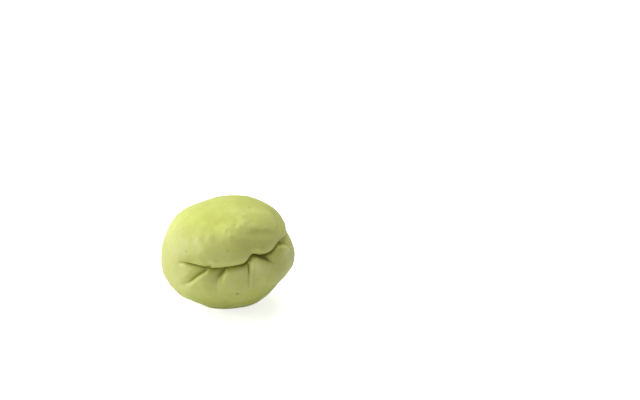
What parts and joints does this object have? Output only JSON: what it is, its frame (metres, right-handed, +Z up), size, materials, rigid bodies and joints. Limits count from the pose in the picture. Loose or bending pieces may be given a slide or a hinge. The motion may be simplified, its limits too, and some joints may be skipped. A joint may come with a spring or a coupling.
{
  "type": "chayote squash",
  "caption": "Chayote squash lying on its side: a plump pear-shaped green fruit with a puckered, cleft blossom end and a small stem scar.",
  "frame": {"origin": "middle of the bottom of the bounding box, on the surface that the fruit rests on", "axes": "+Z up from the surface; -Y towards the puckered blossom end, +Y towards the stem end; +X to the right as the blossom end is seen from in front"},
  "size_m": [0.0874, 0.1084, 0.0722],
  "materials": {
    "skin": "satin"
  },
  "bodies": {
    "root": {"chayote": "skin"}
  },
  "joints": []
}
